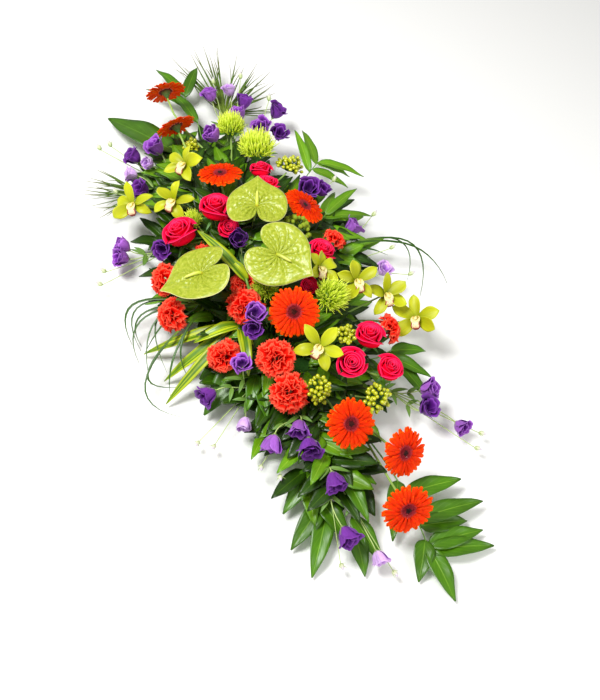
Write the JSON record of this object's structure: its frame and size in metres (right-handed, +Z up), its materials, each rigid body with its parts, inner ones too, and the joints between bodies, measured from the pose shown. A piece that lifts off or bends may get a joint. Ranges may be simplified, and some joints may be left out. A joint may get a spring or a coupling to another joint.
{
  "type": "casket spray",
  "caption": "Long low spray of cut flowers and foliage in wet floral foam on a shallow tray, made to lie along the top of a closed casket lid.",
  "frame": {"origin": "middle of the flat underside of the tray, on the surface that the spray lies on", "axes": "+Z up, +Y along the spray towards the head end of the lid, +X to the right when seen from the foot end"},
  "size_m": [0.8547, 1.692, 0.2734],
  "materials": {
    "tray_plastic": "moulded dark green plastic, satin",
    "floral_foam": "water-soaked phenolic floral foam, matte and finely open-celled",
    "floral_tape": "green waterproof floral tape, satin",
    "anthurium": "waxy lime-green spathe, quilted between pale veins, glossy",
    "gerbera": "vivid orange rays, matte, round a maroon disc",
    "rose": "cerise petals, velvety, paler at their edges",
    "carnation": "coral-red ruffled petals, matte",
    "cymbidium": "waxy yellow-green tepals, cream lip edged in dark red",
    "chrysanthemum": "lime-green spider petals, matte",
    "berries": "smooth yellow-green berries, glossy",
    "lisianthus": "violet petals, matte, paler towards the throat, on thin green stems",
    "broad_leaf": "dark green leathery leaf, satin",
    "strap_leaf": "green strap leaf with paler edges, satin",
    "greenery": "glossy three-veined green leaves on a thin stem",
    "grass": "dark green grass blades and palm leaflets, satin"
  },
  "bodies": {
    "root": {"tray": "tray_plastic", "foam": "floral_foam", "tape_head": "floral_tape", "tape_foot": "floral_tape", "gerbera_head_tip": "gerbera", "gerbera_head": "gerbera", "gerbera_centre_head": "gerbera", "gerbera_right": "gerbera", "gerbera_centre": "gerbera", "gerbera_foot": "gerbera", "gerbera_foot_right": "gerbera", "gerbera_foot_tip": "gerbera", "anthurium_head": "anthurium", "anthurium_centre": "anthurium", "anthurium_left": "anthurium", "roses_head": "rose", "roses_left": "rose", "roses_right": "rose", "roses_foot": "rose", "carnations_left": "carnation", "carnations_centre": "carnation", "carnations_foot": "carnation", "carnations_right": "carnation", "cymbidiums_left": "cymbidium", "cymbidiums_right": "cymbidium", "cymbidium_foot": "cymbidium", "chrysanthemum_centre": "chrysanthemum", "chrysanthemums_head": "chrysanthemum", "chrysanthemums_left": "chrysanthemum", "berries_right": "berries", "berries_head": "berries", "berries_foot": "berries", "lisianthus_head": "lisianthus", "lisianthus_head_right": "lisianthus", "lisianthus_head_left": "lisianthus", "lisianthus_left_head": "lisianthus", "lisianthus_left": "lisianthus", "lisianthus_centre": "lisianthus", "lisianthus_right": "lisianthus", "lisianthus_right_low": "lisianthus", "lisianthus_foot_left": "lisianthus", "lisianthus_foot": "lisianthus", "lisianthus_foot_tip": "lisianthus", "lisianthus_foot_right": "lisianthus", "aspidistra_head": "broad_leaf", "aspidistra_left": "broad_leaf", "dracaena_left": "strap_leaf", "dracaena_centre": "strap_leaf", "bear_grass_left": "grass", "bear_grass_right": "grass", "palm_head": "grass", "palm_left": "grass", "greenery_foot_right": "greenery", "greenery_foot": "greenery", "greenery_foot_left": "greenery", "greenery_left": "greenery", "greenery_right": "greenery", "greenery_right_head": "greenery", "greenery_head_right": "greenery", "greenery_head": "greenery"}
  },
  "joints": []
}
